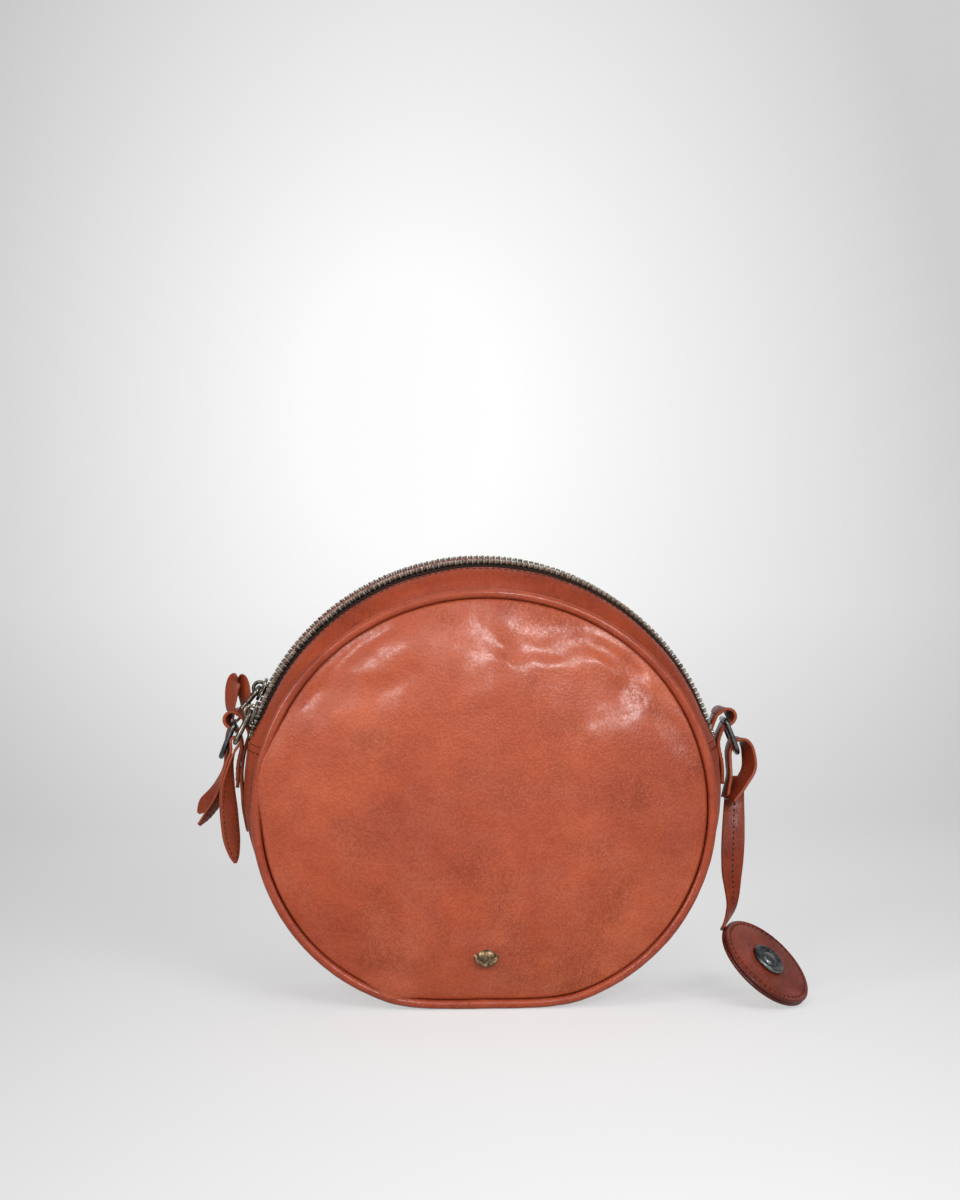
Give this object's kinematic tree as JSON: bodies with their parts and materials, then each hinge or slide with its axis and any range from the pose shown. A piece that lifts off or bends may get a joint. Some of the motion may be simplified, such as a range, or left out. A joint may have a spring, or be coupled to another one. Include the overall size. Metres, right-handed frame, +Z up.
{
  "type": "round leather crossbody bag",
  "caption": "Round soft leather crossbody bag with twin arched zips, side D-rings and a hanging leather disc fob.",
  "frame": {"origin": "on the floor under the middle of the bag's base", "axes": "+X to the wearer's right of the front as seen, +Y from front to rear, +Z up"},
  "size_m": [0.2825, 0.0973, 0.2047],
  "materials": {
    "leather": "pull-up cognac cowhide with a waxy sheen",
    "piping_leather": "the same hide wrapped over a cord",
    "strap_leather": "the same hide, raw cut edges",
    "lining": "plain cotton twill",
    "padding": "needled felt",
    "zip_tape": "woven dark brown zip tape",
    "zip_teeth": "antique brass, brushed high points",
    "zip_hardware": "antique nickel over brass",
    "gunmetal": "blackened cast metal",
    "stud": "dark antique brass"
  },
  "bodies": {
    "bag": {"centre_band": "leather", "divider": "lining", "front_lining": "lining", "front_padding": "padding", "front_panel": "leather", "front_piping": "piping_leather", "front_stud": "stud", "front_stud_washer": "stud", "front_zip_band": "leather", "front_zip_front_tape": "zip_tape", "front_zip_front_teeth": "zip_teeth", "front_zip_left_stop": "zip_teeth", "front_zip_rear_tape": "zip_tape", "front_zip_rear_teeth": "zip_teeth", "front_zip_right_stop": "zip_teeth", "left_side_tab": "strap_leather", "lower_gusset": "leather", "rear_lining": "lining", "rear_padding": "padding", "rear_panel": "leather", "rear_piping": "piping_leather", "rear_zip_band": "leather", "rear_zip_front_tape": "zip_tape", "rear_zip_front_teeth": "zip_teeth", "rear_zip_left_stop": "zip_teeth", "rear_zip_rear_tape": "zip_tape", "rear_zip_rear_teeth": "zip_teeth", "rear_zip_right_stop": "zip_teeth", "right_side_tab": "strap_leather"},
    "front_slider": {"front_slider": "zip_hardware"},
    "front_bail": {"front_bail": "zip_hardware"},
    "front_pull": {"front_pull_tab": "strap_leather"},
    "rear_slider": {"rear_slider": "zip_hardware"},
    "rear_bail": {"rear_bail": "zip_hardware"},
    "rear_pull": {"rear_pull_tab": "strap_leather"},
    "left_ring": {"left_ring": "gunmetal"},
    "right_ring": {"right_ring": "gunmetal"},
    "fob_strap": {"fob_loop": "strap_leather", "fob_strap": "strap_leather"},
    "fob_disc": {"fob_disc_back": "strap_leather", "fob_disc_front": "strap_leather", "fob_ornament": "gunmetal"}
  },
  "joints": [
    {"name": "front_zip_travel", "type": "hinge", "parent": "bag", "child": "front_slider", "pos_m": [0, -0.014, 0.093], "axis": [0, 1, 0], "range_deg": [0, 137]},
    {"name": "front_bail_swing", "type": "hinge", "parent": "front_slider", "child": "front_bail", "pos_m": [-0.10639, -0.014, 0.13491], "axis": [0, 1, 0], "range_deg": [0, 60]},
    {"name": "front_pull_swing", "type": "hinge", "parent": "front_bail", "child": "front_pull", "pos_m": [-0.11343, -0.014, 0.1211], "axis": [0, 1, 0], "range_deg": [0, 40]},
    {"name": "rear_zip_travel", "type": "hinge", "parent": "bag", "child": "rear_slider", "pos_m": [0, 0.014, 0.093], "axis": [0, 1, 0], "range_deg": [0, 132.5]},
    {"name": "rear_bail_swing", "type": "hinge", "parent": "rear_slider", "child": "rear_bail", "pos_m": [-0.10278, 0.014, 0.14313], "axis": [0, 1, 0], "range_deg": [0, 50]},
    {"name": "rear_pull_swing", "type": "hinge", "parent": "rear_bail", "child": "rear_pull", "pos_m": [-0.11274, 0.014, 0.13125], "axis": [0, 1, 0], "range_deg": [0, 35]},
    {"name": "left_ring_swing", "type": "hinge", "parent": "bag", "child": "left_ring", "pos_m": [-0.11409, 0, 0.12817], "axis": [0, 1, 0], "range_deg": [0, 60]},
    {"name": "right_ring_swing", "type": "hinge", "parent": "bag", "child": "right_ring", "pos_m": [0.11409, 0, 0.12817], "axis": [0, -1, 0], "range_deg": [0, 45]},
    {"name": "fob_swing", "type": "hinge", "parent": "right_ring", "child": "fob_strap", "pos_m": [0.12027, 0, 0.11287], "axis": [0, -1, 0], "range_deg": [0, 35]},
    {"name": "fob_disc_swing", "type": "hinge", "parent": "fob_strap", "child": "fob_disc", "pos_m": [0.11002, -0.02927, 0.03458], "axis": [-0.2672, -0.92, -0.2868], "range_deg": [0, 10]}
  ]
}
